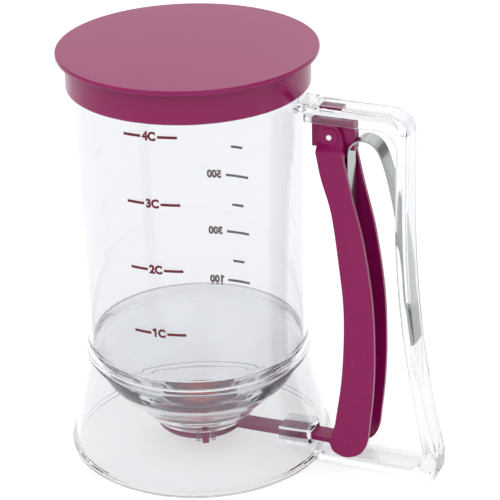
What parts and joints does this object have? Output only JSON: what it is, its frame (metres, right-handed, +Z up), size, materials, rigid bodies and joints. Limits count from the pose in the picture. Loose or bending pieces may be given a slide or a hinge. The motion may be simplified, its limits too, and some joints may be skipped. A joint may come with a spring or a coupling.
{
  "type": "pancake batter dispenser",
  "caption": "Clear tapered cup on a conical foot with a loop handle; a spring-loaded trigger slides a sealed gate under the funnel outlet, and a flat lid covers the mouth.",
  "frame": {"origin": "on the cup's axis, in the plane that the foot and the handle's lower arm stand on", "axes": "+X from the cup's axis towards the handle, +Z up along the cup's axis"},
  "size_m": [0.1763, 0.1198, 0.19],
  "materials": {
    "clear_plastic": "clear moulded plastic",
    "coloured_plastic": "satin moulded magenta plastic",
    "seal_rubber": "red silicone",
    "pin_steel": "cut and turned steel wire",
    "spring_steel": "bright rolled spring steel strip"
  },
  "bodies": {
    "vessel": {"container": "clear_plastic", "base_skirt": "clear_plastic", "handle_frame": "clear_plastic", "pivot_pin": "pin_steel", "spring_strip": "spring_steel", "valve_housing": "coloured_plastic"},
    "trigger_body": {"trigger": "coloured_plastic"},
    "gate_body": {"valve_gate": "coloured_plastic", "gate_seal": "seal_rubber", "link_pin": "pin_steel"},
    "lid_body": {"lid": "coloured_plastic"}
  },
  "joints": [
    {"name": "trigger_hinge", "type": "hinge", "parent": "vessel", "child": "trigger_body", "pos_m": [0.0664, 0, 0.158], "axis": [0, -1, 0], "range_deg": [0, 6.7], "stiffness_Nm_per_rad": 1.2, "springref_deg": -20.05, "deforming": ["spring_strip"]},
    {"name": "gate_slide", "type": "slide", "parent": "vessel", "child": "gate_body", "axis": [1, 0, 0], "range_m": [0, 0.0176]},
    {"name": "lid_lift", "type": "slide", "parent": "vessel", "child": "lid_body", "axis": [0, 0, 1], "range_m": [0, 0.035]}
  ],
  "couplings": [
    {"joint": "gate_slide", "follows": "trigger_hinge", "m_per_rad": 0.1489}
  ]
}
